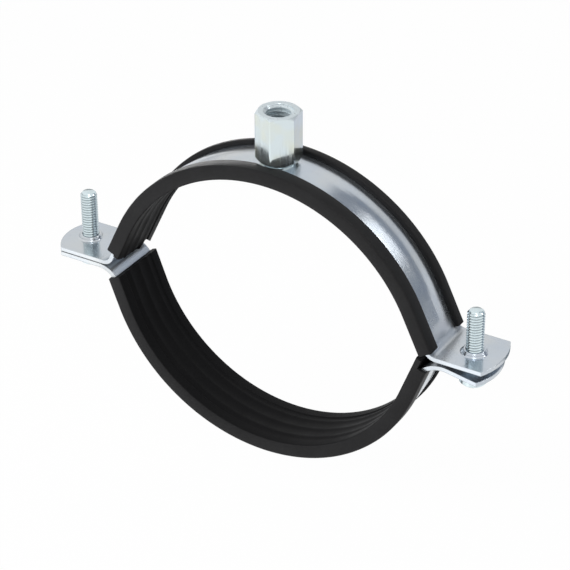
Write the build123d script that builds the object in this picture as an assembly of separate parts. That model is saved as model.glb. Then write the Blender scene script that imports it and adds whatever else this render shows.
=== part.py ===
from build123d import *
import os
from math import sin, cos, radians, sqrt

# Rubber lined pipe clamp: two steel half bands with rubber liners, two M6 clamping screws,
# and a hexagonal boss with an M10 rod thread on the crown of the upper half.
# Row frame: origin at the centre of the pipe seat, +X to the right-hand ear,
# +Y along the pipe, +Z up the rod thread. Millimetres, clamp screwed shut with no pipe in it.

# ---- steel strip --------------------------------------------------------
STEEL = 1.5            # strip thickness
STRIP_W = 21.8         # strip width, the same in the band and in the ears
RAISE = 0.7            # height of the raised middle pressed along each band
RAISE_W = 16.4         # its width, out to where it has died away
RAISE_FADE = 0.06      # its edges start this far down in the strip
RAISE_ON = 2.5         # on the upper half it runs this far into the bends
RAISE_Y = 0.9          # its centre across the strip
RAISE_ROOT = 0.4       # it is rooted this deep in the strip
RAISE_STEPS = 8        # points from its edge up to its middle

# ---- rubber liner -------------------------------------------------------
BASE = 2.05            # rubber between the pipe and the steel
LINER_W = 24.0         # width over the two side walls
LINER_H = 5.32         # from the pipe side to the top of the lips
LIP_FRONT_Y = -6.6     # free edge of the front lip
LIP_REAR_Y = 8.6       # free edge of the rear lip
LAND_Y = 8.2           # the flat lands run from here to the side walls
GROOVE = 0.85          # depth of the grooves between the ribs
RIB_Y = 5.4            # pitch of the three ribs
RIB_TOP = 1.0          # rib width at its crest
RIB_FOOT = 2.2         # rib width at its foot
RIB_LOW = 0.05         # the crests lie this far under the lands
GROOVE_SIDE = 0.4      # slope at the outer sides of the grooves
EDGE = 0.5             # worn edges of the side walls
LIP_EDGE = 0.25        # worn free edges of the lips

# ---- upper half ---------------------------------------------------------
UP_R = 59.5            # radius at the liner's pipe side
UP_ARC = 64.5          # the arc runs this far each side of the top, degrees
UP_BEND_L, UP_BEND_R = 3.2, 3.4       # radii in the corners between band and ears
UP_DROP_L, UP_DROP_R = 14.55, 12.4    # top faces of the ears, below the ends of the arc
UP_EAR_Z_L = UP_R * cos(radians(UP_ARC)) - UP_DROP_L
UP_EAR_Z_R = UP_R * cos(radians(UP_ARC)) - UP_DROP_R
UP_END_L = (12.5, 18.7)   # liner end past the arc on the left, front and rear
UP_END_R = 14.6        # liner end past the arc on the right
UP_LIP_END = 16.0      # the lips stop here at the latest, on the bend

# ---- lower half ---------------------------------------------------------
LO_TIGHTER = 1.63      # the lower half's arc is tighter by this
LO_R = UP_R - LO_TIGHTER
LO_ARC = 69.0
EAR_GAP_L, EAR_GAP_R = 0.32, 1.17  # between upper and lower ear with the clamp shut
LO_EAR_Z_L = UP_EAR_Z_L - STEEL - EAR_GAP_L    # top face of the left ear
LO_EAR_Z_R = UP_EAR_Z_R - STEEL - EAR_GAP_R    # highest line of the right ear's bend
LO_RISE = 13.20        # from the ends of the arc to the left ear's top face
LO_X = -0.98           # arc centre with the clamp shut
LO_Z = LO_EAR_Z_L - LO_RISE + LO_R * cos(radians(LO_ARC))
LO_BEND_L, LO_BEND_R = 9.0, 11.0   # radius over the bend's upper face
LO_DROOP = 9.4         # the right ear slopes down by this, degrees
LO_END_L, LO_END_R = 11.4, 16.9    # liner ends past the arc
LO_LIP_L, LO_LIP_R = 11.0, 13.4    # lip ends past the arc

# ---- ears ---------------------------------------------------------------
SQUARE_L, SQUARE_R = 25.2, 22.9    # ear corners, outside the pipe side of the liner
TIP_L, TIP_R = 29.5, 25.6          # crowns of the rounded ends, likewise
SHORT_R = 1.6          # the sloping lower right ear ends this much sooner
COLLAR_R = 4.1         # drawn collar that carries the M6 thread, above its filleted foot
COLLAR_TOP_R = 3.9     # the same under its rounded rim
COLLAR_H = 1.35
COLLAR_FOOT = 4.9      # radius where the collar grows out of the ear
COLLAR_RIM = 0.4       # rounding of its rim
RUN_R = 3.05           # hole in the upper ear and collar
CLEAR_R = 3.5          # hole in the lower ear

# ---- screws -------------------------------------------------------------
M6_R = 3.0
SCREW_L = 25.0         # below the head
SCREW_TIP, TIP_IN = 0.9, 0.72      # chamfer at the tip, along and inwards
HEAD_R = 4.75
HEAD_H = 2.9
HEAD_ROUND = 1.0       # rounding under the head
HEAD_BULGE = 0.45      # how near its middle lies to the full corner
RECESS = 1.8           # depth of the cross recess
RECESS_L, RECESS_W = 5.0, 1.1
LEFT_OUT, RIGHT_OUT = 20.6, 15.4   # screw axes, outside the pipe side of the liner
LEFT_X, LEFT_Y = -UP_R - LEFT_OUT, 1.1
RIGHT_X, RIGHT_Y = UP_R + RIGHT_OUT, -0.6
SLACK_L, SLACK_R = 3.55, 4.85      # the screws hang slack, their heads this far below the lower ears
LEFT_SEAT = LO_EAR_Z_L - STEEL - SLACK_L
RIGHT_SEAT = LO_EAR_Z_R - STEEL - SLACK_R

# ---- rod boss -----------------------------------------------------------
BOSS_AF = 14.0         # across flats
BOSS_H = 18.55
BOSS_SINK = 0.2        # the crown of the band rises this far into the foot
BOSS_FOOT = UP_R + BASE + STEEL + RAISE - BOSS_SINK
BOSS_TOP = BOSS_FOOT + BOSS_H
BOSS_TURN = 39.7       # direction of one corner from +X, degrees
BOSS_FOOT_R = 5.9
BOSS_CHAMFER_R = 6.95  # edge of the flat ring on top
BOSS_CHAMFER_FALL = 0.6    # fall of the chamfer on top, for each millimetre outwards
BOSS_ROOT = 0.3        # welded this deep into the crown
BOSS_GAP = 0.75        # air around the boss in the notches of the lips
BOSS_LIFT = (0.4, 3.0)     # the notches reach this far below and above its foot
M10_MINOR = 4.25       # wall of the rod thread's bore
M10_MOUTH = 5.35       # countersink radius at the mouth
BORE_L = 16.5

FAR = 3 * UP_R               # beyond the whole clamp
OVER = 0.2                   # overlap of solids that are joined
D_IN = BASE                  # steel faces, measured outwards from the pipe side
D_OUT = BASE + STEEL
HALF = STRIP_W / 2
SIDE = LINER_W / 2


def section(cx, cz, a, pts):
    """Face with corners (y, r) in the half plane at angle a from the top about the axis through (cx, cz)."""
    pl = Plane(origin=(cx, 0, cz), x_dir=(0, 1, 0), z_dir=(cos(radians(a)), 0, -sin(radians(a))))
    return pl * make_face(Polyline(*pts, close=True))


def swept(cx, cz, a0, a1, s0, s1, pts):
    """The section revolved from a0 to a1, carried on straight by s0 before and s1 after."""
    f0 = section(cx, cz, a0, pts)
    s = revolve(f0, axis=Axis((cx, 0, cz), (0, 1, 0)), revolution_arc=a1 - a0)
    if s0:
        s += extrude(f0, -s0)
    if s1:
        s += extrude(section(cx, cz, a1, pts), s1)
    return s


def raised(cx, cz, a0, a1, s0, s1, r):
    """The softly raised middle of a band, with rounded ends."""
    w = RAISE_W / 2
    low = r - RAISE_ROOT
    front, rear = RAISE_Y - w, RAISE_Y + w
    climb = []
    for i in range(RAISE_STEPS + 1):
        part = i / RAISE_STEPS
        lift = (RAISE + RAISE_FADE) * sin(radians(90 * part)) ** 2
        climb.append((w - w * part, r - RAISE_FADE + lift))
    foot, crest = climb[0][1], climb[-1][1]

    def slope(side):
        # from one edge of the raise up to its middle
        pts = [(RAISE_Y + side * y, h) for y, h in climb]
        return Spline(*pts, tangents=[(-side, 0), (-side, 0)])

    def on(a, e):
        t = Vector(cos(radians(a)), 0, -sin(radians(a)))
        return Plane(origin=Vector(cx, 0, cz) + t * e, x_dir=(0, 1, 0), z_dir=(t.X, t.Y, t.Z)), t

    whole = make_face([slope(1), slope(-1), Line((front, foot), (front, low)),
                       Line((front, low), (rear, low)), Line((rear, low), (rear, foot))])
    f0 = on(a0, 0)[0] * whole
    s = revolve(f0, axis=Axis((cx, 0, cz), (0, 1, 0)), revolution_arc=a1 - a0)
    if s0:
        s += extrude(f0, -s0)
    if s1:
        s += extrude(on(a1, 0)[0] * whole, s1)
    half = make_face([slope(1), Line((RAISE_Y, crest), (RAISE_Y, low)),
                      Line((RAISE_Y, low), (rear, low)), Line((rear, low), (rear, foot))])
    for a, e in ((a0, -s0), (a1, s1)):
        pl, t = on(a, e)
        up = Vector(sin(radians(a)), 0, cos(radians(a)))
        s += revolve(pl * half, axis=Axis(pl.origin + Vector(0, RAISE_Y, 0), up), revolution_arc=360)
    return s


def ear(cx, cz, r, a, travel, length, bend, flat_turn, reach):
    """Bend and ear as one strip. a is the band's end angle, travel +1 or -1 the way the strip runs on,
    length the straight before the bend, bend the radius on the strip's outer face."""
    n = Vector(sin(radians(a)), 0, cos(radians(a)))
    t = Vector(cos(radians(a)), 0, -sin(radians(a))) * travel
    c = Vector(cx, 0, cz)
    o0 = c + n * (r + D_OUT) + t * length
    i0 = c + n * (r + D_IN) + t * length
    back_o = c + n * (r + D_OUT)
    back_i = c + n * (r + D_IN)
    b = o0 + n * bend

    def at(deg, rad):
        # turn from t towards n by deg
        m = n * cos(radians(deg)) - t * sin(radians(deg))
        return b - m * rad
    ri = bend + STEEL
    o1, i1 = at(flat_turn, bend), at(flat_turn, ri)
    om, im = at(flat_turn / 2, bend), at(flat_turn / 2, ri)
    h = t * cos(radians(flat_turn)) + n * sin(radians(flat_turn))
    o2, i2 = o1 + h * reach, i1 + h * reach
    edges = [
        Line(back_o, o0), ThreePointArc(o0, om, o1), Line(o1, o2), Line(o2, i2),
        Line(i2, i1), ThreePointArc(i1, im, i0), Line(i0, back_i), Line(back_i, back_o),
    ]
    face = make_face(edges)
    s = extrude(face, HALF, dir=(0, 1, 0), both=True)
    return s


def outline(square, tip, side):
    """Plan outline that rounds an ear's end."""
    x1, x2 = side * (UP_R + square), side * (UP_R + tip)
    c = HALF + OVER / 10
    w = [Line((-side * FAR, -c), (x1, -c)), ThreePointArc((x1, -c), (x2, 0), (x1, c)),
         Line((x1, c), (-side * FAR, c)), Line((-side * FAR, c), (-side * FAR, -c))]
    return extrude(make_face(w), FAR, both=True)


def upright(x, y, z0, z1, r):
    return Pos(x, y, (z0 + z1) / 2) * Cylinder(r, z1 - z0)


def collar():
    """Drawn collar with a filleted foot and a rounded rim, standing on z = 0."""
    fillet, low = COLLAR_FOOT - COLLAR_R, -OVER
    half_way = sqrt(0.5)
    mid = fillet * (1 - half_way)
    flat_r, shoulder = COLLAR_TOP_R - COLLAR_RIM, COLLAR_H - COLLAR_RIM
    prof = [
        Line((0, low), (COLLAR_FOOT, low)),
        Line((COLLAR_FOOT, low), (COLLAR_FOOT, 0)),
        ThreePointArc((COLLAR_FOOT, 0), (COLLAR_R + mid, mid), (COLLAR_R, fillet)),
        Line((COLLAR_R, fillet), (COLLAR_TOP_R, shoulder)),
        ThreePointArc((COLLAR_TOP_R, shoulder),
                      (flat_r + COLLAR_RIM * half_way, shoulder + COLLAR_RIM * half_way),
                      (flat_r, COLLAR_H)),
        Line((flat_r, COLLAR_H), (0, COLLAR_H)),
        Line((0, COLLAR_H), (0, low)),
    ]
    return revolve(Plane.XZ * make_face(prof), axis=Axis.Z, revolution_arc=360)


def upper_length(z, bend):
    a = radians(UP_ARC)
    return ((UP_R + D_OUT + bend) * cos(a) - bend - z) / sin(a)


def lower_length(z, rad):
    a = radians(LO_ARC)
    start = LO_Z - (LO_R + D_IN) * cos(a)
    return (z - rad - start + rad * cos(a)) / sin(a)


# ---- liner section ------------------------------------------------------
def pipe_side(r):
    """Points of the ribbed side from front to rear."""
    foot, crest = r + GROOVE, r + RIB_LOW
    out = [(-SIDE, r + EDGE), (-SIDE + EDGE, r), (-LAND_Y, r), (-LAND_Y + GROOVE_SIDE, foot)]
    for y in (-RIB_Y, 0, RIB_Y):
        out += [(y - RIB_FOOT / 2, foot), (y - RIB_TOP / 2, crest),
                (y + RIB_TOP / 2, crest), (y + RIB_FOOT / 2, foot)]
    return out + [(LAND_Y - GROOVE_SIDE, foot), (LAND_Y, r), (SIDE - EDGE, r), (SIDE, r + EDGE)]


def base_pts(r):
    return pipe_side(r) + [(SIDE, r + BASE), (-SIDE, r + BASE)]


def full_pts(r):
    top, steel_in, steel_out = r + LINER_H, r + D_IN, r + D_OUT
    return pipe_side(r) + [
        (SIDE, top - EDGE), (SIDE - EDGE, top), (LIP_REAR_Y + LIP_EDGE, top), (LIP_REAR_Y, top - LIP_EDGE),
        (LIP_REAR_Y, steel_out), (HALF, steel_out), (HALF, steel_in),
        (-HALF, steel_in), (-HALF, steel_out), (LIP_FRONT_Y, steel_out),
        (LIP_FRONT_Y, top - LIP_EDGE), (LIP_FRONT_Y - LIP_EDGE, top),
        (-SIDE + EDGE, top), (-SIDE, top - EDGE)]


def strip_pts(r):
    return [(-HALF, r + D_IN), (HALF, r + D_IN), (HALF, r + D_OUT), (-HALF, r + D_OUT)]


os.makedirs("parts", exist_ok=True)

# ---- upper half ---------------------------------------------------------
len_l, len_r = upper_length(UP_EAR_Z_L, UP_BEND_L), upper_length(UP_EAR_Z_R, UP_BEND_R)
upper_band = swept(0, 0, -UP_ARC, UP_ARC, 0, 0, strip_pts(UP_R))
upper_band += ear(0, 0, UP_R, UP_ARC, 1, len_r, UP_BEND_R, UP_ARC, 2 * LEFT_OUT)
upper_band += ear(0, 0, UP_R, -UP_ARC, -1, len_l, UP_BEND_L, UP_ARC, 2 * LEFT_OUT)
for square, tip, side in ((SQUARE_L, TIP_L, -1), (SQUARE_R, TIP_R, 1)):
    upper_band &= outline(square, tip, side)
upper_band += raised(0, 0, -UP_ARC, UP_ARC, len_l - RAISE_W / 2 + RAISE_ON, len_r - RAISE_W / 2 + RAISE_ON,
                     UP_R + D_OUT)
for x, y, z in ((LEFT_X, LEFT_Y, UP_EAR_Z_L), (RIGHT_X, RIGHT_Y, UP_EAR_Z_R)):
    upper_band += Pos(x, y, z) * collar()
    upper_band -= upright(x, y, z - 3 * STEEL, z + 3 * COLLAR_H, RUN_R)

# ---- lower half ---------------------------------------------------------
A_R, A_L = 180 - LO_ARC, 180 + LO_ARC
low_l, low_r = lower_length(LO_EAR_Z_L, LO_BEND_L), lower_length(LO_EAR_Z_R, LO_BEND_R)
lower_band = swept(LO_X, LO_Z, A_R, A_L, 0, 0, strip_pts(LO_R))
lower_band += ear(LO_X, LO_Z, LO_R, A_R, -1, low_r, LO_BEND_R - STEEL, LO_ARC + LO_DROOP, 2 * LEFT_OUT)
lower_band += ear(LO_X, LO_Z, LO_R, A_L, 1, low_l, LO_BEND_L - STEEL, LO_ARC, 2 * LEFT_OUT)
for square, tip, side in ((SQUARE_L, TIP_L, -1), (SQUARE_R - SHORT_R, TIP_R - SHORT_R, 1)):
    lower_band &= outline(square, tip, side)
lower_band += raised(LO_X, LO_Z, A_R, A_L, low_r - RAISE_W / 2, low_l - RAISE_W / 2, LO_R + D_OUT)
for x, y in ((LEFT_X, LEFT_Y), (RIGHT_X, RIGHT_Y)):
    lower_band -= upright(x, y, 0, LO_EAR_Z_R + 4 * STEEL, CLEAR_R)

# ---- liners -------------------------------------------------------------
upper_liner = swept(0, 0, -UP_ARC, UP_ARC, UP_LIP_END, UP_END_R, full_pts(UP_R))
upper_liner += extrude(section(0, 0, -UP_ARC, base_pts(UP_R)), -UP_END_L[1] - BASE)
# the left end is cut askew, longer at the rear
a = radians(-UP_ARC)
t = Vector(-cos(a), 0, sin(a))
n = Vector(sin(a), 0, cos(a))
o = n * UP_R + t * ((UP_END_L[0] + UP_END_L[1]) / 2)
along = (Vector(0, LINER_W, 0) + t * (UP_END_L[1] - UP_END_L[0])).normalized()
cutter = Plane(origin=o, x_dir=(along.X, along.Y, along.Z), z_dir=(n.X, n.Y, n.Z))
far = cutter.y_dir.dot(t)
beyond = LINER_W * (1 if far > 0 else -1)
upper_liner -= cutter * (Pos(0, beyond, 0) * Box(2 * LINER_W, 2 * LINER_W, LINER_W))
upper_liner -= upper_band

# the boss stands a little over both lips, which are notched for it
upper_liner -= upright(0, 0, BOSS_FOOT - BOSS_LIFT[0], BOSS_FOOT + BOSS_LIFT[1], BOSS_AF / 2 + BOSS_GAP)

lower_liner = swept(LO_X, LO_Z, A_R, A_L, LO_LIP_R, LO_LIP_L, full_pts(LO_R))
lower_liner += extrude(section(LO_X, LO_Z, A_R, base_pts(LO_R)), -LO_END_R)
lower_liner += extrude(section(LO_X, LO_Z, A_L, base_pts(LO_R)), LO_END_L)
lower_liner -= lower_band

# ---- rod boss -----------------------------------------------------------
hexagon = Rot(0, 0, BOSS_TURN) * RegularPolygon(BOSS_AF / 2, 6, major_radius=False)
root = BOSS_FOOT - BOSS_ROOT
boss = Pos(0, 0, root) * extrude(hexagon, BOSS_TOP - root)
clear_r = BOSS_AF / 2 / cos(radians(30)) + OVER    # just outside the corners
turned = Polyline((0, root), (BOSS_FOOT_R, root), (BOSS_FOOT_R, BOSS_FOOT),
                  (clear_r, BOSS_FOOT + clear_r - BOSS_FOOT_R),
                  (clear_r, BOSS_TOP - BOSS_CHAMFER_FALL * (clear_r - BOSS_CHAMFER_R)),
                  (BOSS_CHAMFER_R, BOSS_TOP), (0, BOSS_TOP), close=True)
boss &= revolve(Plane.XZ * make_face(turned), axis=Axis.Z, revolution_arc=360)
boss -= upright(0, 0, BOSS_TOP - BORE_L, BOSS_TOP + 1, M10_MINOR)
mouth = M10_MOUTH - M10_MINOR
boss -= Pos(0, 0, BOSS_TOP - mouth / 2) * Cone(M10_MINOR, M10_MOUTH, mouth)
boss -= upper_band


# ---- screws -------------------------------------------------------------
def screw(x, y, seat):
    """Upright screw with its head below seat and its tip up."""
    low, tip = seat - HEAD_H, seat + SCREW_L
    bulge = HEAD_BULGE * HEAD_ROUND
    prof = Polyline((0, low), (HEAD_R - HEAD_ROUND, low), (HEAD_R - bulge, low + bulge),
                    (HEAD_R, low + HEAD_ROUND), (HEAD_R, seat), (M6_R, seat),
                    (M6_R, tip - SCREW_TIP), (M6_R - TIP_IN, tip), (0, tip), close=True)
    s = revolve(Plane.XZ * make_face(prof), axis=Axis.Z, revolution_arc=360)
    for turn in (0, 90):
        slot = Pos(0, 0, low + RECESS / 2 - OVER / 2) * Box(RECESS_L, RECESS_W, RECESS + OVER)
        s -= Rot(0, 0, turn) * slot
    return Pos(x, y, 0) * s


nodes = {
    "upper_band": upper_band,
    "lower_band": lower_band,
    "upper_liner": upper_liner,
    "lower_liner": lower_liner,
    "rod_boss": boss,
    "left_screw": screw(LEFT_X, LEFT_Y, LEFT_SEAT),
    "right_screw": screw(RIGHT_X, RIGHT_Y, RIGHT_SEAT),
}
for name, shape in nodes.items():
    solids = shape.solids()
    print(name, len(solids), "solid(s)", [round(s.volume, 1) for s in solids], shape.bounding_box())
    solid = max(solids, key=lambda s: s.volume)
    export_step(solid, f"parts/{name}.step")
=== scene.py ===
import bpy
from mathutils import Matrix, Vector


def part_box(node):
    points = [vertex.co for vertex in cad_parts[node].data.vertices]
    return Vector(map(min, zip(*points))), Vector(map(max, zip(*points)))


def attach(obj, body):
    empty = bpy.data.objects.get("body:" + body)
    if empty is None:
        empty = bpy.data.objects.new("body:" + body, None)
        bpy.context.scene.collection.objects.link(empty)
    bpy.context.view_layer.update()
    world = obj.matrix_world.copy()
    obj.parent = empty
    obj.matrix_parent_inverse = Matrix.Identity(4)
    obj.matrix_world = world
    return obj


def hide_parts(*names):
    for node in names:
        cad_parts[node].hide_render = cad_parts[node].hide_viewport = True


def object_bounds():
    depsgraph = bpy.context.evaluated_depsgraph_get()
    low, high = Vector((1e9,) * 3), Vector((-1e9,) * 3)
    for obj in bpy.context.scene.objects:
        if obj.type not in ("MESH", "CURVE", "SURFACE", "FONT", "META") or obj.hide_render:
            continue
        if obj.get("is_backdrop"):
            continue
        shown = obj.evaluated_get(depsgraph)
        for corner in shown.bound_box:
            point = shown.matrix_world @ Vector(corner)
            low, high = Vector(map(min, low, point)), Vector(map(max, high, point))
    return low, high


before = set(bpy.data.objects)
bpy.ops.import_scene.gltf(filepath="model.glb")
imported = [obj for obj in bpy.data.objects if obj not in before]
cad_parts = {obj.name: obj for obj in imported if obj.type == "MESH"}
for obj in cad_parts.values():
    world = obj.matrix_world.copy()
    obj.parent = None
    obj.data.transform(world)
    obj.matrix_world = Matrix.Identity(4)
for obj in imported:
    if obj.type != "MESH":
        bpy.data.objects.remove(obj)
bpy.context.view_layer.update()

from math import atan2, cos, degrees, pi, radians, sin, sqrt

import bmesh
import bpy
from bpy.props import FloatProperty, FloatVectorProperty, PointerProperty
from mathutils import Matrix, Vector

bl_info = {
    "name": "Rubber lined pipe clamp",
    "version": (1, 0, 0),
    "blender": (4, 5, 0),
    "location": "View3D > Sidebar > Clamp",
    "description": "Dresses the packed pipe clamp: strip steel, rubber liners, screws and rod boss",
    "category": "Object",
}

# Pieces are drawn in millimetres, and finish_piece scales them. The stage is in metres.
MM = 0.001
MERGED = 0.004          # vertices closer together than this become one
SEAM = 0.01             # the same where one turn of a thread meets the next

# Section of the liner: places across, and heights above the pipe side.
WALL, STRIP_HALF, BASE, LIP_FOOT, TOP = 12.0, 10.9, 2.05, 3.55, 5.32
LIP_FRONT, LIP_REAR = -6.6, 8.6
GROOVE_FLOOR, GROOVE_FOOT, GROOVE_RIM = 0.32, 7.8, 8.2
RIB_PITCH, RIB_FOOT, RIB_CREST, RIB_LOW = 5.4, 1.1, 0.5, 0.05
# Pairs of corners of the section, and the size of their rounding.
ROUNDED = (((-WALL, 0.0), (WALL, 0.0), 0.6),
           ((-WALL, TOP), (WALL, TOP), 0.75),
           ((LIP_FRONT, TOP), (LIP_REAR, TOP), 0.55),
           ((LIP_FRONT, LIP_FOOT), (LIP_REAR, LIP_FOOT), 0.25))
# How near a vertex is to count as on a lip or on its free edge, and how far that edge reaches.
LIP_SLACK, EDGE_SLACK, EDGE_REACH = 0.1, 0.05, 1.0

# The liners' arcs: centre, radius of the pipe side, first and last angle in degrees from the top.
UPPER_ARC = (0.0, 0.0), 59.5, -64.5, 64.5
LOWER_ARC = (-0.98, 16.7842), 57.87, 111.0, 249.0
# Angles, and how far the rear lip's free edge lies towards its wall from LIP_REAR there.
UPPER_FREE = (-64, 0.3), (-45, 0.9), (-10, 1.2), (5, 0.3), (30, 0.0), (64, -0.3)
LOWER_FREE = (111, 2.2), (150, 2.0), (200, 0.4), (249, 0.3)
# Angles, and how far that edge is pressed towards the pipe there.
UNPRESSED = ((0, 0.0),)
LOWER_PRESSED = (105, 0.9), (140, 0.9), (175, 0.0), (249, 0.0)
# How far the ends run on straight past their arc: places across and lengths, for the base and
# then for the lips. The left end of the upper liner was cut by hand and tore.
TORN_END = (((-12, 13.0), (-8, 15.0), (-5.4, 16.2), (-2, 16.6), (0, 16.3), (2, 16.5), (4, 17.8),
             (4.8, 18.6), (5.5, 15.4), (6.6, 14.4), (8.2, 15.4), (10, 17.0), (12, 18.6)),
            ((-12, 12.3), (12, 15.6)))
UPPER_RIGHT_END = ((0, 14.5),), ((0, 14.3),)
LOWER_RIGHT_END = ((0, 16.9),), ((0, 13.4),)
LOWER_LEFT_END = ((0, 11.4),), ((0, 11.0),)
LEAST_RUN = 0.05        # that the base always runs on past the lips
NOTCH_R = 7.75          # of the cut in the front lip round the boss

# Rod boss: half its width across flats, the radii of its foot, top ring and mouth, the depth of
# its bore, and its turn on the band in degrees.
FLAT_R, FOOT_R, RING_R, MOUTH_R, BORE, BOSS_TURN = 7.0, 5.9, 6.95, 5.15, 16.5, 39.7
BURIED, FOOT_RISE = 0.6, 0.3            # the round foot, below and above the lowest CAD point
MOUTH_SLOPE, RING_SLOPE = 1.1, 0.6      # of the countersink, and of the chamfer on top
MOUTH_RIM = 0.1         # from the mouth to the flat ring round it
SATIN_DEPTH = 0.9       # faces this near to the top are turned ones
CORNER_SLACK, UPRIGHT = 0.01, 5.0       # a corner edge is this near the corners, and longer
ROD_MINOR, ROD_MAJOR = 4.22, 5.02       # radii of the M10 thread

# Clamping screws: radii of the M6 thread, and the length, depth and curve of their drawn in tips.
SCREW_MINOR, SCREW_MAJOR = 2.42, 2.98
TIP_LENGTH, TIP_DEPTH, TIP_CURVE = 1.1, 0.85, 1.7
THREAD_LAP, HEAD_LAP = 0.2, 0.05        # how far thread and head reach past the seat

# The rubber's pipe side is told by how far its faces look towards the middle of the clamp: the
# height of that middle, and the distances between which the look changes.
MIDDLE_Z, INNER_FROM, INNER_TO = 8.0, -20.0, -40.0

# Distances from the middle, in metres, between which the strip is bent and its ears begin.
BEND_FROM, BEND_TO, EAR_FROM, EAR_TO = 0.056, 0.064, 0.066, 0.071

# The stage, in metres.
FLOOR_SIZE = 6.0
FLOOR_WHITE = 0.98      # share of plain white in what is seen of the floor; the rest is shaded
TENT_LIGHT = 0.3        # strength of the white tent on surfaces
TENT_BEHIND, TENT_HORIZON = 0.94, 0.55  # and in reflections, behind and along the horizon
DOWN_RIGHT = (0.77, 0, -0.63)
# Standing cards: name, place, direction of the width, width, height, colour and strength.
# Three draw the bands: a long dark one, its upper end, and a bright one in front of it. The
# others are a bright one overhead in front, for the rims of the collars, and a pale one low
# behind.
STANDING_CARDS = (
    ("long_dark", (0.552, 0.70, 0.422), DOWN_RIGHT, 1.15, 0.42, "#858e9c", 1.0),
    ("short_dark", (0.222, 0.620, 0.832), DOWN_RIGHT, 0.34, 0.29, "#7b8493", 1.0),
    ("bright", (0.632, 0.50, 0.693), DOWN_RIGHT, 0.50, 0.09, "#ffffff", 8.0),
    ("rim", (0.27, -0.44, 0.86), (0.85, 0.52, 0), 0.26, 0.26, "#ffffff", 7.0),
    ("low_pale", (0.50, 0.95, 0.03), (0.88, -0.46, 0), 0.36, 0.20, "#f4f6f8", 1.0))
# Cards lying flat, level with the bottom of the clamp: name, X, Y, width, depth, colour and
# strength. They are bright before the sheared edges, and grey behind the screws and the boss.
LYING_CARDS = (
    ("front_floor", -0.045, -0.16, 0.22, 0.17, "#ffffff", 1.6),
    ("left_floor", -0.36, 0.02, 0.42, 0.14, "#e6e6f0", 1.0),
    ("near_floor", 0.10, 0.125, 0.6, 0.08, "#7c868c", 1.0),
    ("back_floor", 0.05, 0.33, 0.7, 0.33, "#dcdde6", 1.0))


def linear(code):
    """A colour written as sRGB hex, as the linear numbers that a shader takes."""
    channels = [int(code[i:i + 2], 16) / 255 for i in (1, 3, 5)]
    return tuple(c / 12.92 if c <= 0.04045 else ((c + 0.055) / 1.055) ** 2.4
                 for c in channels) + (1.0,)


def per_metre(size):
    """The scale that gives a pattern features of a size in millimetres."""
    return 1 / (size * MM)


def add_node(tree, kind, settings=(), **inputs):
    """Adds one node, with its settings and with a value or a link for each input. An input goes
    by its name, or by its place after an underscore."""
    made = tree.nodes.new(kind)
    for name, value in dict(settings).items():
        setattr(made, name, value)
    for name, value in inputs.items():
        by_place = name[0] == "_" and name[1:].isdigit()
        socket = made.inputs[int(name[1:]) if by_place else name.replace("_", " ")]
        if isinstance(value, bpy.types.NodeSocket):
            tree.links.new(value, socket)
        else:
            socket.default_value = value
    return made


def new_material(name):
    """An empty material, and its node tree."""
    made = bpy.data.materials.new(name)
    made.use_nodes = True
    made.node_tree.nodes.clear()
    return made, made.node_tree


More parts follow.
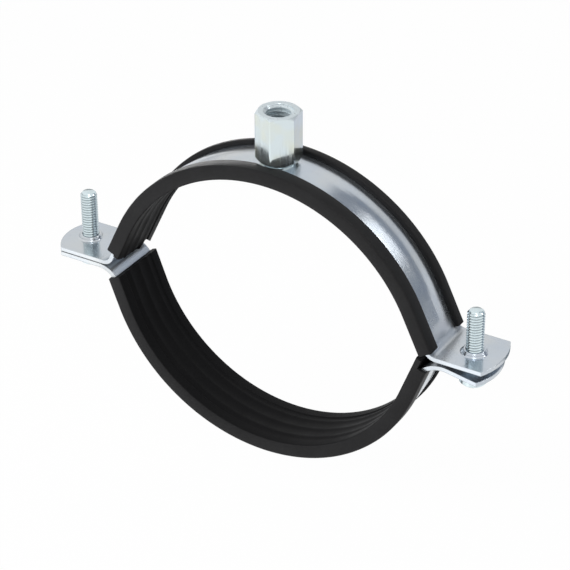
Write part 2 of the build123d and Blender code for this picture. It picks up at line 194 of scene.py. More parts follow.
# ---- finishes ---------------------------------------------------------------
def zinc_plated_strip(settings):
    """Cold rolled strip with bright zinc plate and a clear blue passivation: a soft mirror whose
    blue cast thins out in places, faint rolling grain along the band and small dull marks."""
    made, tree = new_material("Bright zinc plated cold rolled strip")
    place = add_node(tree, "ShaderNodeTexCoord").outputs["Object"]
    # rolling grain: 0.25 mm wide in Y and 20 mm long, coarser than real so that it shows
    grain_place = add_node(tree, "ShaderNodeMapping", Vector=place,
                           Scale=(per_metre(20), per_metre(0.25), per_metre(20)))
    grain = add_node(tree, "ShaderNodeTexNoise", Vector=grain_place.outputs["Vector"],
                     Scale=1.0, Detail=3.0, Roughness=0.6)
    # the passivation drifts over some 14 mm
    drift = add_node(tree, "ShaderNodeTexNoise", Vector=place, Scale=per_metre(14.286),
                     Detail=3.0, Roughness=0.55)
    warm = add_node(tree, "ShaderNodeMapRange", Value=drift.outputs["Fac"],
                    From_Min=0.35, From_Max=0.7)
    colour = add_node(tree, "ShaderNodeMix", {"data_type": "RGBA"}, _0=warm.outputs["Result"],
                      _6=settings.tint_blue[:] + (1,), _7=settings.tint_warm[:] + (1,))
    # handling marks: dull freckles of about 1.5 mm, few and faint
    marks = add_node(tree, "ShaderNodeTexNoise", Vector=place, Scale=per_metre(1.5385),
                     Detail=4.0, Roughness=0.7)
    worn = add_node(tree, "ShaderNodeMapRange", Value=marks.outputs["Fac"],
                    From_Min=0.62, From_Max=0.72, To_Max=settings.marks)
    marked = add_node(tree, "ShaderNodeMix", {"data_type": "RGBA"}, _0=worn.outputs["Result"],
                      _6=colour.outputs[2], _7=settings.mark_colour[:] + (1,))
    rough = add_node(tree, "ShaderNodeMapRange", Value=marks.outputs["Fac"],
                     From_Min=0.3, From_Max=0.75,
                     To_Min=settings.roughness - 0.02, To_Max=settings.roughness + 0.03)
    # the press leaves the plate duller on the bends, and smoother on the flat ears beyond them
    across = add_node(tree, "ShaderNodeSeparateXYZ", Vector=place)
    outwards = add_node(tree, "ShaderNodeMath", {"operation": "ABSOLUTE"}, _0=across.outputs["X"])
    pressed = add_node(tree, "ShaderNodeMapRange", Value=outwards.outputs[0],
                       From_Min=BEND_FROM, From_Max=BEND_TO, To_Max=settings.pressed)
    flattened = add_node(tree, "ShaderNodeMapRange", Value=outwards.outputs[0],
                         From_Min=EAR_FROM, From_Max=EAR_TO, To_Max=settings.pressed + 0.05)
    rough = add_node(tree, "ShaderNodeMath", {"operation": "ADD"}, _0=rough.outputs["Result"],
                     _1=pressed.outputs["Result"])
    rough = add_node(tree, "ShaderNodeMath", {"operation": "SUBTRACT"}, _0=rough.outputs[0],
                     _1=flattened.outputs["Result"])
    # the strip's sheared edges are rubbed round by barrel plating, by a quarter of a millimetre
    edge = add_node(tree, "ShaderNodeBevel", {"samples": 6}, Radius=0.28 * MM)
    bump = add_node(tree, "ShaderNodeBump", Height=grain.outputs["Fac"], Strength=0.04,
                    Distance=0.02 * MM, Normal=edge.outputs["Normal"])
    shader = add_node(tree, "ShaderNodeBsdfPrincipled", Base_Color=marked.outputs[2],
                      Metallic=0.92, Roughness=rough.outputs[0], Normal=bump.outputs["Normal"])
    add_node(tree, "ShaderNodeOutputMaterial", Surface=shader.outputs["BSDF"])
    return made


def zinc_plated_bar(settings):
    """Drawn hexagon bar, turned on its ends and zinc plated: glossy flats with fine lines up them
    and a cast that goes from pale cyan to pale yellow as the passivation thins."""
    made, tree = new_material("Bright zinc plated drawn bar")
    place = add_node(tree, "ShaderNodeTexCoord").outputs["Object"]
    # drawing lines run up the flats, 0.4 mm apart and 25 mm long, coarser than real
    lines_place = add_node(tree, "ShaderNodeMapping", Vector=place,
                           Scale=(per_metre(0.4), per_metre(0.4), per_metre(25)))
    lines = add_node(tree, "ShaderNodeTexNoise", Vector=lines_place.outputs["Vector"],
                     Scale=1.0, Detail=3.0, Roughness=0.6)
    # the colour drifts over some 8 mm
    drift = add_node(tree, "ShaderNodeTexNoise", Vector=place, Scale=per_metre(8.3333), Detail=1.5)
    thin = add_node(tree, "ShaderNodeMapRange", Value=drift.outputs["Fac"],
                    From_Min=0.4, From_Max=0.62)
    colour = add_node(tree, "ShaderNodeMix", {"data_type": "RGBA"}, _0=thin.outputs["Result"],
                      _6=settings.tint_blue[:] + (1,), _7=settings.tint_warm[:] + (1,))
    rough = add_node(tree, "ShaderNodeMapRange", Value=lines.outputs["Fac"],
                     From_Min=0.35, From_Max=0.65,
                     To_Min=settings.roughness - 0.06, To_Max=settings.roughness + 0.14)
    bump = add_node(tree, "ShaderNodeBump", Height=lines.outputs["Fac"], Strength=0.25,
                    Distance=0.02 * MM)
    shader = add_node(tree, "ShaderNodeBsdfPrincipled", Base_Color=colour.outputs[2],
                      Metallic=0.95, Roughness=rough.outputs["Result"],
                      Normal=bump.outputs["Normal"])
    add_node(tree, "ShaderNodeOutputMaterial", Surface=shader.outputs["BSDF"])
    return made


def zinc_plated_bore(settings):
    """The tapped rod thread: zinc plate too thin to gloss, a pale satin grey with cloudy drifts."""
    made, tree = new_material("Bright zinc plated tapped thread")
    place = add_node(tree, "ShaderNodeTexCoord").outputs["Object"]
    # clouds of 1 mm
    clouds = add_node(tree, "ShaderNodeTexNoise", Vector=place, Scale=per_metre(1),
                      Detail=3.0, Roughness=0.6)
    rough = add_node(tree, "ShaderNodeMapRange", Value=clouds.outputs["Fac"],
                     To_Min=settings.roughness + 0.1, To_Max=settings.roughness + 0.3)
    colour = add_node(tree, "ShaderNodeMix", {"data_type": "RGBA"}, _0=clouds.outputs["Fac"],
                      _6=settings.bore_colour[:] + (1,), _7=settings.tint_blue[:] + (1,))
    bump = add_node(tree, "ShaderNodeBump", Height=clouds.outputs["Fac"], Strength=0.15,
                    Distance=0.02 * MM)
    shader = add_node(tree, "ShaderNodeBsdfPrincipled", Base_Color=colour.outputs[2],
                      Metallic=0.4, Roughness=rough.outputs["Result"],
                      Normal=bump.outputs["Normal"])
    add_node(tree, "ShaderNodeOutputMaterial", Surface=shader.outputs["BSDF"])
    return made


def zinc_plated_thread(settings):
    """Zinc plate on a rolled thread: bright crests, with painted shade in the roots, which pointiness
    finds, and dull spots of plating grain.
    """
    made, tree = new_material("Bright zinc plated rolled thread")
    place = add_node(tree, "ShaderNodeTexCoord").outputs["Object"]
    # plating grain of some half a millimetre, coarser than real so that it shows
    spots = add_node(tree, "ShaderNodeTexNoise", Vector=place, Scale=per_metre(0.55556),
                     Detail=4.0, Roughness=0.65)
    # low pointiness gives the roots the darker tint: painted shade in the thread's hollows, mixed
    # with the plating grain
    hollow = add_node(tree, "ShaderNodeNewGeometry").outputs["Pointiness"]
    crest = add_node(tree, "ShaderNodeMapRange", Value=hollow, From_Min=0.44, From_Max=0.56)
    both = add_node(tree, "ShaderNodeMath", {"operation": "MULTIPLY_ADD"},
                    _0=spots.outputs["Fac"], _1=0.4, _2=crest.outputs["Result"])
    unshaded_and_clean = add_node(tree, "ShaderNodeMapRange", Value=both.outputs[0], From_Min=0.3, From_Max=1.0)
    colour = add_node(tree, "ShaderNodeMix", {"data_type": "RGBA"}, _0=unshaded_and_clean.outputs["Result"],
                      _6=settings.root_shade_and_dull_tint[:] + (1,), _7=settings.colour[:] + (1,))
    rough = add_node(tree, "ShaderNodeMapRange", Value=spots.outputs["Fac"],
                     To_Min=settings.roughness - 0.05, To_Max=settings.roughness + 0.08)
    bump = add_node(tree, "ShaderNodeBump", Height=spots.outputs["Fac"], Strength=0.15,
                    Distance=0.02 * MM)
    shader = add_node(tree, "ShaderNodeBsdfPrincipled", Base_Color=colour.outputs[2],
                      Metallic=1.0, Roughness=rough.outputs["Result"],
                      Normal=bump.outputs["Normal"])
    add_node(tree, "ShaderNodeOutputMaterial", Surface=shader.outputs["BSDF"])
    return made


def extruded_rubber(settings):
    """Extruded EPDM: matt black with a low sheen, fine pores, grey drifts of talc, and painted shade
    on the pipe side inside the ring.
    """
    made, tree = new_material("Extruded EPDM rubber")
    coordinates = add_node(tree, "ShaderNodeTexCoord")
    place = coordinates.outputs["Object"]
    # pores of 0.6 mm, coarser than real so that they show
    pores = add_node(tree, "ShaderNodeTexNoise", Vector=place, Scale=per_metre(0.625),
                     Detail=3.0, Roughness=0.6)
    # talc lies in drifts of 10 mm
    drift = add_node(tree, "ShaderNodeTexNoise", Vector=place, Scale=per_metre(10),
                     Detail=5.0, Roughness=0.65)
    talc = add_node(tree, "ShaderNodeMapRange", Value=drift.outputs["Fac"],
                    From_Min=0.4, From_Max=0.75)
    outer = add_node(tree, "ShaderNodeMix", {"data_type": "RGBA"}, _0=talc.outputs["Result"],
                     _6=settings.colour[:] + (1,), _7=settings.talc[:] + (1,))
    # the pipe side, which faces the middle of the clamp, is free of talc, with a darker colour and
    # less sheen: painted shade inside the ring
    outwards = add_node(tree, "ShaderNodeVectorMath", {"operation": "SUBTRACT"}, _0=place,
                        _1=(0.0, 0.0, MIDDLE_Z * MM))
    towards = add_node(tree, "ShaderNodeVectorMath", {"operation": "DOT_PRODUCT"},
                       _0=outwards.outputs["Vector"], _1=coordinates.outputs["Normal"])
    pipe_side_shade = add_node(tree, "ShaderNodeMapRange", Value=towards.outputs["Value"],
                     From_Min=INNER_FROM * MM, From_Max=INNER_TO * MM)
    colour = add_node(tree, "ShaderNodeMix", {"data_type": "RGBA"}, _0=pipe_side_shade.outputs["Result"],
                      _6=outer.outputs[2], _7=settings.pipe_side[:] + (1,))
    low_sheen = add_node(tree, "ShaderNodeMapRange", Value=pipe_side_shade.outputs["Result"],
                         To_Min=0.16, To_Max=0.05)
    rough = add_node(tree, "ShaderNodeMapRange", Value=drift.outputs["Fac"],
                     From_Min=0.3, From_Max=0.7,
                     To_Min=settings.roughness - 0.05, To_Max=settings.roughness + 0.08)
    bump = add_node(tree, "ShaderNodeBump", Height=pores.outputs["Fac"], Strength=0.25,
                    Distance=0.04 * MM)
    shader = add_node(tree, "ShaderNodeBsdfPrincipled", Base_Color=colour.outputs[2],
                      Roughness=rough.outputs["Result"],
                      Specular_IOR_Level=low_sheen.outputs["Result"],
                      Normal=bump.outputs["Normal"])
    add_node(tree, "ShaderNodeOutputMaterial", Surface=shader.outputs["BSDF"])
    return made


def dress(node_name, material):
    """Gives a CAD node its finish."""
    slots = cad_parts[node_name].data.materials
    slots.clear()
    slots.append(material)


# ---- settings ---------------------------------------------------------------
class StripSettings(bpy.types.PropertyGroup):
    tint_blue: FloatVectorProperty(
        name="Blue tint", description="Where the passivation is thicker", subtype="COLOR",
        default=linear("#c3cbd4")[:3])
    tint_warm: FloatVectorProperty(
        name="Warm tint", description="Where the passivation is thin", subtype="COLOR",
        default=linear("#ccd0d2")[:3])
    mark_colour: FloatVectorProperty(
        name="Marks", description="Dull handling marks", subtype="COLOR",
        default=linear("#8e9298")[:3])
    marks: FloatProperty(
        name="Mark strength", description="How plain the marks are", default=0.18, min=0, max=1)
    roughness: FloatProperty(
        name="Roughness", description="Of the plated strip", default=0.22, min=0.05, max=1)
    pressed: FloatProperty(
        name="Pressed roughness", description="Added on the bends", default=0.10, min=0, max=0.5)


class BossSettings(bpy.types.PropertyGroup):
    tint_warm: FloatVectorProperty(
        name="Warm tint", description="Where the passivation is thin", subtype="COLOR",
        default=linear("#dde2d6")[:3])
    tint_blue: FloatVectorProperty(
        name="Blue tint", description="Where the passivation is thicker", subtype="COLOR",
        default=linear("#d8e3e6")[:3])
    bore_colour: FloatVectorProperty(
        name="Bore colour", description="Plate in the tapped thread", subtype="COLOR",
        default=linear("#c6d0d6")[:3])
    roughness: FloatProperty(
        name="Roughness", description="Of the plated bar", default=0.10, min=0.04, max=1)
    corner: FloatProperty(
        name="Corner", description="Rounding of the corners of the hexagon, mm", default=0.25,
        min=0)
    pitch: FloatProperty(
        name="Pitch", description="Of the M10 rod thread, mm", default=1.5, min=0.5)


class ScrewSettings(bpy.types.PropertyGroup):
    colour: FloatVectorProperty(
        name="Colour", description="Plate on the crests", subtype="COLOR",
        default=linear("#dbe9ed")[:3])
    # the darker tint in the thread roots is painted shade in the hollows, and also colours the dull
    # grain spots
    root_shade_and_dull_tint: FloatVectorProperty(
        name="Dull tint", description="Plate in the roots", subtype="COLOR",
        default=linear("#93a0a4")[:3])
    roughness: FloatProperty(
        name="Roughness", description="Of the plated thread", default=0.2, min=0.05, max=1)
    pitch: FloatProperty(
        name="Pitch", description="Of the M6 thread, mm", default=1.0, min=0.3)
    head_height: FloatProperty(
        name="Head height", description="From the seat to the top of the head, mm", default=2.9,
        min=0.5)


class RubberSettings(bpy.types.PropertyGroup):
    colour: FloatVectorProperty(
        name="Colour", description="Black EPDM", subtype="COLOR",
        default=linear("#1a1a1b")[:3])
    talc: FloatVectorProperty(
        name="Talc", description="Where talc greys the rubber", subtype="COLOR",
        default=linear("#232324")[:3])
    # darker than the rest of the rubber: painted shade on the inside of the ring
    pipe_side: FloatVectorProperty(
        name="Pipe side", description="Clean rubber that grips the pipe", subtype="COLOR",
        default=linear("#161617")[:3])
    roughness: FloatProperty(
        name="Roughness", description="Of the rubber", default=0.5, min=0, max=1)


class StageSettings(bpy.types.PropertyGroup):
    azimuth: FloatProperty(
        name="Azimuth", description="Round the clamp, from the front", subtype="ANGLE",
        default=0.5443990471402415)
    elevation: FloatProperty(
        name="Elevation", description="Above the horizon", subtype="ANGLE",
        default=0.5407256548646923)
    roll: FloatProperty(
        name="Roll", description="Of the camera", subtype="ANGLE", default=-0.005650439653483743)
    distance: FloatProperty(
        name="Distance", description="From the camera to its target", unit="LENGTH",
        default=0.7569272722592047)
    target: FloatVectorProperty(
        name="Target", description="Point that the camera looks at", unit="LENGTH",
        default=(0.0020477, 0.0, 0.0161086))
    lens: FloatProperty(
        name="Lens", description="Focal length in millimetres", default=139.8218, min=1)
    drop: FloatProperty(
        name="Drop", description="From the clamp at rest down to the floor", unit="LENGTH",
        default=0.015, min=0)


# ---- making pieces ------------------------------------------------------------
def new_mesh(name, bm):
    """Turns a drawn mesh into mesh data, and lets go of the drawing."""
    mesh = bpy.data.meshes.new(name)
    bm.to_mesh(mesh)
    bm.free()
    return mesh


def new_object(name, data):
    """Puts a mesh, a lamp or a camera in the scene."""
    made = bpy.data.objects.new(name, data)
    bpy.context.scene.collection.objects.link(made)
    return made


def finish_piece(bm, name, body, node, material, sharp=radians(38)):
    """Closes a mesh drawn in millimetres and hangs it on its CAD body in place of its node."""
    bmesh.ops.remove_doubles(bm, verts=bm.verts, dist=MERGED)
    bmesh.ops.scale(bm, verts=bm.verts, vec=(MM, MM, MM))
    bmesh.ops.recalc_face_normals(bm, faces=bm.faces)
    mesh = new_mesh(name, bm)
    mesh.shade_smooth()
    mesh.set_sharp_from_angle(angle=sharp)
    mesh.materials.append(material)
    made = new_object(name, mesh)
    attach(made, body)
    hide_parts(node)
    return made


def box_of(node):
    """Lowest and highest corner of a CAD node, in millimetres."""
    low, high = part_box(node)
    return low / MM, high / MM


def metric_thread(bm, minor, major, pitch, low, high, steps=40):
    """One pitch of a metric profile spun up the Z axis and cut flat at both ends. Gives its
    lower and upper end loops."""
    # a quarter of the pitch stays at the minor radius and an eighth at the major one
    eighth = pitch / 8
    start = low - pitch
    profile = ((minor, 0), (minor, 2 * eighth), (major, 4.5 * eighth), (major, 5.5 * eighth),
               (minor, pitch))
    verts = [bm.verts.new((radius, 0, start + z)) for radius, z in profile]
    edges = [bm.edges.new(pair) for pair in zip(verts, verts[1:])]
    turns = int((high - low) / pitch) + 3
    bmesh.ops.spin(bm, geom=verts + edges, cent=(0, 0, 0), axis=(0, 0, 1),
                   dvec=(0, 0, pitch / steps), angle=2 * pi * turns, steps=turns * steps)
    bmesh.ops.remove_doubles(bm, verts=bm.verts, dist=SEAM)
    loops = []
    for height, above in ((low, False), (high, True)):
        cut = bmesh.ops.bisect_plane(bm, geom=bm.verts[:] + bm.edges[:] + bm.faces[:],
                                     plane_co=(0, 0, height), plane_no=(0, 0, 1),
                                     clear_inner=not above, clear_outer=above)["geom_cut"]
        loops.append([e for e in cut if isinstance(e, bmesh.types.BMEdge)])
    return loops


def polar(vert):
    """A vertex's distance from the Z axis, and its angle round it."""
    return sqrt(vert.co.x ** 2 + vert.co.y ** 2), atan2(vert.co.y, vert.co.x)


def grow_ring(bm, edges, place):
    """Extrudes a closed loop of edges and sets each new vertex to the radius and height that
    place gives for its angle."""
    grown = bmesh.ops.extrude_edge_only(bm, edges=edges)["geom"]
    verts = {g for g in grown if isinstance(g, bmesh.types.BMVert)}
    for vert in verts:
        angle = polar(vert)[1]
        radius, height = place(angle)
        vert.co = (radius * cos(angle), radius * sin(angle), height)
    return [e for e in bm.edges if e.verts[0] in verts and e.verts[1] in verts]


def run_on(bm, ends, move):
    """Extrudes end faces by what move gives for a place across, and gives the new end faces."""
    grown = bmesh.ops.extrude_face_region(bm, geom=ends)["geom"]
    for vert in (g for g in grown if isinstance(g, bmesh.types.BMVert)):
        vert.co += move(vert.co.y)
    bmesh.ops.delete(bm, geom=[f for f in ends if f.is_valid], context="FACES_ONLY")
    return [g for g in grown if isinstance(g, bmesh.types.BMFace)]


def stations(pairs, at):
    """Straight line interpolation between (place, value) pairs."""
    for (x0, v0), (x1, v1) in zip(pairs, pairs[1:]):
        if at <= x1:
            return v0 + (v1 - v0) * max(0.0, (at - x0) / (x1 - x0))
    return pairs[-1][1]


def liner(bm, centre, radius, first, last, before, after, free_rear, pressed=UNPRESSED, notch=0.0,
          steps=128):
    """A liner half. The section is spun from angle first to last, in degrees from the top, then
    run on straight at both ends by before and after. free_rear and pressed move the free edge of
    the rear lip, and notch is the radius of the cut in the front one."""
    def new_face(points):
        for y, height in points:
            if (y, height) not in made:
                away = radius + height
                made[y, height] = bm.verts.new((centre[0] + away * sin(start), y,
                                                centre[1] + away * cos(start)))
        bm.faces.new([made[point] for point in points])

    made, start = {}, radians(first)
    pipe_side = [(-WALL, 0.0), (-GROOVE_RIM, 0.0), (-GROOVE_FOOT, GROOVE_FLOOR)]
    for y in (-RIB_PITCH, 0.0, RIB_PITCH):
        pipe_side += [(y - RIB_FOOT, GROOVE_FLOOR), (y - RIB_CREST, RIB_LOW),
                      (y + RIB_CREST, RIB_LOW), (y + RIB_FOOT, GROOVE_FLOOR)]
    pipe_side += [(GROOVE_FOOT, GROOVE_FLOOR), (GROOVE_RIM, 0.0), (WALL, 0.0)]
    new_face(pipe_side + [(WALL, BASE), (STRIP_HALF, BASE), (-STRIP_HALF, BASE), (-WALL, BASE)])
    for side, free in ((-1, LIP_FRONT), (1, LIP_REAR)):
        new_face([(side * WALL, BASE), (side * WALL, TOP), (free, TOP), (free, LIP_FOOT),
                  (side * STRIP_HALF, LIP_FOOT), (side * STRIP_HALF, BASE)])
    for front, rear, size in ROUNDED:
        bmesh.ops.bevel(bm, geom=[made[front], made[rear]], affect="VERTICES", offset=size,
                        segments=3, profile=0.5, material=-1)
    first_faces = bm.faces[:]
    out = bmesh.ops.spin(bm, geom=bm.verts[:] + bm.edges[:] + first_faces,
                         cent=(centre[0], 0, centre[1]), axis=(0, 1, 0),
                         angle=radians(last - first), steps=steps, use_normal_flip=False)
    last_faces = [g for g in out["geom_last"] if isinstance(g, bmesh.types.BMFace)]

    # free edges of the lips, and the notch for the foot of the boss
    for vert in bm.verts:
        x, z = vert.co.x - centre[0], vert.co.z - centre[1]
        height, angle = sqrt(x * x + z * z) - radius, degrees(atan2(x, z))
        if last > 180:
            angle %= 360
        on_lip = height > LIP_FOOT - LIP_SLACK
        if on_lip and LIP_REAR - EDGE_SLACK < vert.co.y < LIP_REAR + EDGE_REACH:
            vert.co.y += stations(free_rear, angle)
        if height > LIP_FOOT + LIP_SLACK and vert.co.y > LIP_REAR - EDGE_SLACK:
            press = stations(pressed, angle) * (height - LIP_FOOT) / (TOP - LIP_FOOT)
            vert.co.x -= x * press / (radius + height)
            vert.co.z -= z * press / (radius + height)
        if on_lip and LIP_FRONT - EDGE_REACH < vert.co.y < LIP_FRONT + EDGE_SLACK and abs(x) < notch:
            vert.co.y += min(0.0, -sqrt(notch * notch - x * x) - LIP_FRONT)

    for faces, angle, way, (base, lips) in ((first_faces, first, -1, before),
                                            (last_faces, last, 1, after)):
        along = Vector((cos(radians(angle)), 0, -sin(radians(angle)))) * way
        # the whole section runs on with the lips, then the base alone, which is the largest face
        ends = run_on(bm, faces, lambda y: along * stations(lips, y))
        run_on(bm, [max(ends, key=lambda face: face.calc_area())],
               lambda y: along * max(LEAST_RUN, stations(base, y) - stations(lips, y)))


def hexagon(angle):
    """Distance from the boss's axis to its side at an angle."""
    return FLAT_R / cos(radians(degrees(angle) % 60 - 30))


def add_head(bm, node, seat):
    """Adds the head of a CAD screw, which is all of it below the seat, to a drawn screw."""
    head = bmesh.new()
    head.from_mesh(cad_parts[node].data)
    bmesh.ops.scale(head, verts=head.verts, vec=(1 / MM, 1 / MM, 1 / MM))
    bmesh.ops.remove_doubles(head, verts=head.verts, dist=MERGED)
    bmesh.ops.bisect_plane(head, geom=head.verts[:] + head.edges[:] + head.faces[:],
                           plane_co=(0, 0, seat + HEAD_LAP), plane_no=(0, 0, 1), clear_outer=True)
    bmesh.ops.holes_fill(head, edges=head.edges, sides=0)
    bmesh.ops.dissolve_limit(head, angle_limit=radians(2), verts=head.verts, edges=head.edges)
    spare = new_mesh("spare", head)
    bm.from_mesh(spare)
    bpy.data.meshes.remove(spare)


# ---- operators --------------------------------------------------------------
class CLAMP_OT_bands(bpy.types.Operator):
    """Finish the two strip steel half bands"""
    bl_idname = "clamp.bands"
    bl_label = "Half bands"

    def execute(self, context):
        steel = zinc_plated_strip(context.scene.clamp_strip)
        dress("upper_band", steel)
        dress("lower_band", steel)
        return {"FINISHED"}


class CLAMP_OT_liners(bpy.types.Operator):
    """Make the two rubber liners"""
    bl_idname = "clamp.liners"
    bl_label = "Rubber liners"

    def execute(self, context):
        rubber = extruded_rubber(context.scene.clamp_rubber)
        bm = bmesh.new()
        liner(bm, *UPPER_ARC, before=TORN_END, after=UPPER_RIGHT_END, free_rear=UPPER_FREE,
              notch=NOTCH_R)
        finish_piece(bm, "upper_rubber_liner", "upper_half", "upper_liner", rubber)
        bm = bmesh.new()
        liner(bm, *LOWER_ARC, before=LOWER_RIGHT_END, after=LOWER_LEFT_END, free_rear=LOWER_FREE,
              pressed=LOWER_PRESSED)
        finish_piece(bm, "lower_rubber_liner", "lower_half", "lower_liner", rubber)
        return {"FINISHED"}


class CLAMP_OT_boss(bpy.types.Operator):
    """Make the hexagonal boss with its rod thread"""
    bl_idname = "clamp.boss"
    bl_label = "Rod boss"

    def execute(self, context):
        settings = context.scene.clamp_boss
        low, high = box_of("rod_boss")
        foot, top = low.z + FOOT_RISE, high.z

        # tapped bore, with a countersunk mouth
        bm = bmesh.new()
        loops = metric_thread(bm, ROD_MINOR, ROD_MAJOR, settings.pitch, top - BORE, top)
        for vert in bm.verts:
            radius, angle = polar(vert)
            wide = max(radius, MOUTH_R - MOUTH_SLOPE * (top - vert.co.z))
            vert.co.x, vert.co.y = wide * cos(angle), wide * sin(angle)
        for face in bm.faces:
            face.material_index = 1
        bmesh.ops.contextual_create(bm, geom=loops[0])

        # outside, grown up from the round foot and closed onto the mouth
        base = bmesh.ops.create_circle(bm, cap_ends=True, cap_tris=False, segments=72,
                                       radius=FOOT_R)["verts"]
        bmesh.ops.translate(bm, verts=base, vec=(0, 0, low.z - BURIED))
        ring = [e for e in bm.edges if e.verts[0] in base and e.verts[1] in base]
        for place in (lambda angle: (FOOT_R, foot),
                      lambda angle: (hexagon(angle), foot + hexagon(angle) - FOOT_R),
                      lambda angle: (hexagon(angle), top - RING_SLOPE * (hexagon(angle) - RING_R)),
                      lambda angle: (RING_R, top),
                      lambda angle: (MOUTH_R + MOUTH_RIM, top)):
            ring = grow_ring(bm, ring, place)
        bmesh.ops.bridge_loops(bm, edges=ring + [e for e in loops[1] if e.is_valid])
        corner_r = hexagon(0) - CORNER_SLACK
        corners = [e for e in bm.edges
                   if min(polar(v)[0] for v in e.verts) > corner_r and e.calc_length() > UPRIGHT]
        bmesh.ops.bevel(bm, geom=corners, affect="EDGES", offset=settings.corner, segments=2,
                        profile=0.5, material=-1)
        bmesh.ops.rotate(bm, verts=bm.verts, cent=(0, 0, 0),
                         matrix=Matrix.Rotation(radians(BOSS_TURN), 3, "Z"))
        # the turned faces on top are as satin as the thread
        for face in bm.faces:
            if min(vert.co.z for vert in face.verts) > top - SATIN_DEPTH:
                face.material_index = 1
        made = finish_piece(bm, "threaded_boss", "upper_half", "rod_boss",
                            zinc_plated_bar(settings), sharp=radians(24))
        made.data.materials.append(zinc_plated_bore(settings))
        return {"FINISHED"}


class CLAMP_OT_screws(bpy.types.Operator):
    """Make the two clamping screws"""
    bl_idname = "clamp.screws"
    bl_label = "Clamping screws"

    def execute(self, context):
        settings = context.scene.clamp_screws
        steel = zinc_plated_thread(settings)
        for side in ("left", "right"):
            node = side + "_screw"
            low, high = box_of(node)
            middle = (low + high) / 2
            seat, tip = low.z + settings.head_height, high.z
            # the thread, drawn in at the tip
            bm = bmesh.new()
            loops = metric_thread(bm, SCREW_MINOR, SCREW_MAJOR, settings.pitch,
                                  seat - THREAD_LAP, tip)
            for vert in bm.verts:
                radius, angle = polar(vert)
                deep = max(0.0, 1 - (tip - vert.co.z) / TIP_LENGTH)
                narrow = min(radius, SCREW_MAJOR - TIP_DEPTH * deep ** TIP_CURVE)
                vert.co.x, vert.co.y = narrow * cos(angle), narrow * sin(angle)
            for loop in loops:
                bmesh.ops.contextual_create(bm, geom=loop)
            bmesh.ops.translate(bm, verts=bm.verts, vec=(middle.x, middle.y, 0))
            add_head(bm, node, seat)
            finish_piece(bm, side + "_threaded_screw", side + "_clamp_screw", node,
                         steel)
        return {"FINISHED"}


# ---- stage ------------------------------------------------------------------
def add_camera(stage):
    """The camera, set by two angles and a distance from its target, and by its roll."""
    az, el = stage.azimuth, stage.elevation
    back = Vector((sin(az) * cos(el), -cos(az) * cos(el), sin(el)))
    right = Vector((cos(az), sin(az), 0))
    up = back.cross(right)
    x = right * cos(stage.roll) + up * sin(stage.roll)
    y = up * cos(stage.roll) - right * sin(stage.roll)
    data = bpy.data.cameras.new("camera")
    data.sensor_width, data.lens = 36.0, stage.lens
    data.clip_start, data.clip_end = 0.01, 20.0
    made = new_object("camera", data)
    made.matrix_world = (Matrix.Translation(Vector(stage.target) + back * stage.distance)
                         @ Matrix((x, y, back)).transposed().to_4x4())
    bpy.context.scene.camera = made


def add_lamp(name, place, aim, size, power, tall=None, glossy=True):
    """A white area lamp at a place, which shines towards aim."""
    lamp = bpy.data.lights.new(name, "AREA")
    lamp.shape = "RECTANGLE"
    lamp.size, lamp.size_y = size, tall or size
    lamp.energy = power
    made = new_object(name, lamp)
    made.location = place
    made.rotation_mode = "QUATERNION"
    made.rotation_quaternion = (Vector(aim) - Vector(place)).to_track_quat("-Z", "Y")
    made.visible_glossy = glossy
    return made


def flat_sheet(name, width, height, place, turn=Matrix.Identity(3)):
    """A mesh of one flat face, turned and then moved to its place."""
    bm = bmesh.new()
    bmesh.ops.create_grid(bm, x_segments=1, y_segments=1, size=0.5)
    bmesh.ops.scale(bm, verts=bm.verts, vec=(width, height, 1))
    bmesh.ops.rotate(bm, verts=bm.verts, cent=(0, 0, 0), matrix=turn)
    bmesh.ops.translate(bm, verts=bm.verts, vec=place)
    return new_mesh(name, bm)


def add_card(name, place, along, width, height, code, strength, aim=(0, 0, 0.02)):
    """A card that only reflections see: dark to draw shapes in the plating, or bright to light
    them. It faces aim, with its width along the given direction."""
    facing = (Vector(aim) - Vector(place)).normalized()
    across = facing.cross(Vector(along)).normalized()
    turn = Matrix((across.cross(facing), across, facing)).transposed()
    mesh = flat_sheet(name, width, height, place, turn)
    paint, tree = new_material("Studio card " + name)
    glow = add_node(tree, "ShaderNodeEmission", Color=linear(code), Strength=strength)
    add_node(tree, "ShaderNodeOutputMaterial", Surface=glow.outputs[0])
    mesh.materials.append(paint)
    made = new_object(name, mesh)
    made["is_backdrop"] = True
    made.visible_camera = made.visible_diffuse = False
    made.visible_shadow = made.visible_transmission = False


def seen_rays(tree):
    """The light path, and a value that is 1 for rays that show a thing as it is seen: those of
    the camera, of reflections and through glass."""
    path = add_node(tree, "ShaderNodeLightPath")
    seen = path.outputs["Is Camera Ray"]
    for kind in ("Is Glossy Ray", "Is Transmission Ray"):
        either = add_node(tree, "ShaderNodeMath", {"operation": "MAXIMUM"}, _0=seen,
                          _1=path.outputs[kind])
        seen = either.outputs[0]
    return path, seen


def add_floor(height):
    """White paper, with the shadow of the clamp on it."""
    mesh = flat_sheet("floor", FLOOR_SIZE, FLOOR_SIZE, (0, 0, height))
    floor = new_object("floor", mesh)
    floor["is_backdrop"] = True
    paper, tree = new_material("White paper floor")
    share = add_node(tree, "ShaderNodeMath", {"operation": "MULTIPLY"}, _0=seen_rays(tree)[1],
                     _1=FLOOR_WHITE)
    matt = add_node(tree, "ShaderNodeBsdfDiffuse", Color=linear("#f0f0f0"))
    glow = add_node(tree, "ShaderNodeEmission", Color=linear("#ffffff"), Strength=1.0)
    both = add_node(tree, "ShaderNodeMixShader", Fac=share.outputs[0], _1=matt.outputs[0],
                    _2=glow.outputs[0])
    add_node(tree, "ShaderNodeOutputMaterial", Surface=both.outputs[0])
    mesh.materials.append(paper)


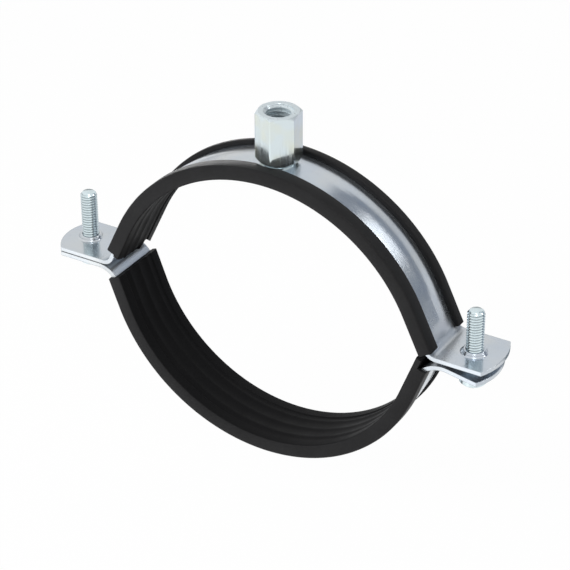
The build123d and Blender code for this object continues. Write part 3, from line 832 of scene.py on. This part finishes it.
def add_tent():
    """A white world, which reflections find greyer behind and dark along the horizon."""
    world = bpy.data.worlds.new("white tent")
    bpy.context.scene.world = world
    world.use_nodes = True
    tree = world.node_tree
    tree.nodes.clear()
    path, seen = seen_rays(tree)
    aim = add_node(tree, "ShaderNodeTexCoord").outputs["Generated"]
    axes = add_node(tree, "ShaderNodeSeparateXYZ", Vector=aim)
    behind = add_node(tree, "ShaderNodeMapRange", {"interpolation_type": "SMOOTHSTEP"},
                      Value=axes.outputs["Y"], From_Min=0.2, From_Max=0.7,
                      To_Min=1.0, To_Max=TENT_BEHIND)
    horizon = add_node(tree, "ShaderNodeMapRange", {"interpolation_type": "SMOOTHSTEP"},
                       Value=axes.outputs["Z"], From_Min=0.0, From_Max=0.2,
                       To_Min=TENT_HORIZON, To_Max=1.0)
    tent = add_node(tree, "ShaderNodeMath", {"operation": "MULTIPLY"}, _0=behind.outputs[0],
                    _1=horizon.outputs[0])
    mirrored = add_node(tree, "ShaderNodeMix", {"data_type": "FLOAT"},
                        _0=path.outputs["Is Glossy Ray"], _2=1.0, _3=tent.outputs[0])
    strength = add_node(tree, "ShaderNodeMix", {"data_type": "FLOAT"}, _0=seen, _2=TENT_LIGHT,
                        _3=mirrored.outputs[0])
    sky = add_node(tree, "ShaderNodeBackground", Color=linear("#ffffff"),
                   Strength=strength.outputs[0])
    add_node(tree, "ShaderNodeOutputWorld", Surface=sky.outputs[0])


class CLAMP_OT_stage(bpy.types.Operator):
    """Make the floor, the lights and the camera"""
    bl_idname = "clamp.stage"
    bl_label = "Stage"

    def execute(self, context):
        stage = context.scene.clamp_stage
        context.scene.view_settings.view_transform = "Standard"
        add_camera(stage)
        # far enough down for the lower half to be let down above it
        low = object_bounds()[0].z
        add_floor(low - stage.drop)
        add_tent()

        # lamps: a near one from the front left, and soft ones from the right and behind
        add_lamp("key", (-0.34, -0.5, 0.36), (0, 0, 0), size=0.4, power=4.2, glossy=False)
        add_lamp("fill", (0.9, -0.4, 0.5), (0, 0, 0.02), size=0.6, power=1.5, glossy=False)
        add_lamp("back", (-0.1, 0.9, 0.8), (0, 0, 0.02), size=0.8, power=2.0, glossy=False)
        # a low one behind on the left, for the sheen along the upper liner's rear lip alone
        lips = bpy.data.collections.new("lips")
        lips.objects.link(bpy.data.objects["upper_rubber_liner"])
        sheen = add_lamp("sheen", (-0.55, 0.66, 0.10), (0, 0, 0.05), size=0.35, power=1.6,
                         tall=0.05)
        sheen.light_linking.receiver_collection = lips

        for card in STANDING_CARDS:
            add_card(*card)
        for name, x, y, width, depth, code, strength in LYING_CARDS:
            spot = Vector((x, y, low + MM))
            add_card(name, spot, (1, 0, 0), width, depth, code, strength,
                     aim=spot + Vector((0, 0, 1)))
        return {"FINISHED"}


class CLAMP_PT_panel(bpy.types.Panel):
    """Pieces of the pipe clamp"""
    bl_label = "Pipe clamp"
    bl_idname = "CLAMP_PT_panel"
    bl_space_type = "VIEW_3D"
    bl_region_type = "UI"
    bl_category = "Clamp"

    def draw(self, context):
        for group, operator in PIECES:
            box = self.layout.box()
            box.operator(operator.bl_idname)
            settings = getattr(context.scene, group)
            for name in settings.__annotations__:
                box.prop(settings, name)


GROUPS = (("clamp_strip", StripSettings), ("clamp_rubber", RubberSettings),
          ("clamp_boss", BossSettings), ("clamp_screws", ScrewSettings),
          ("clamp_stage", StageSettings))
PIECES = (("clamp_strip", CLAMP_OT_bands), ("clamp_rubber", CLAMP_OT_liners),
          ("clamp_boss", CLAMP_OT_boss), ("clamp_screws", CLAMP_OT_screws),
          ("clamp_stage", CLAMP_OT_stage))


def register():
    for name, group in GROUPS:
        bpy.utils.register_class(group)
        setattr(bpy.types.Scene, name, PointerProperty(type=group))
    for _, operator in PIECES:
        bpy.utils.register_class(operator)
    bpy.utils.register_class(CLAMP_PT_panel)


def unregister():
    bpy.utils.unregister_class(CLAMP_PT_panel)
    for _, operator in reversed(PIECES):
        bpy.utils.unregister_class(operator)
    for name, group in reversed(GROUPS):
        delattr(bpy.types.Scene, name)
        bpy.utils.unregister_class(group)


def main():
    register()
    bpy.ops.clamp.bands()
    bpy.ops.clamp.liners()
    bpy.ops.clamp.boss()
    bpy.ops.clamp.screws()
    bpy.ops.clamp.stage()


if __name__ == "__main__":
    main()
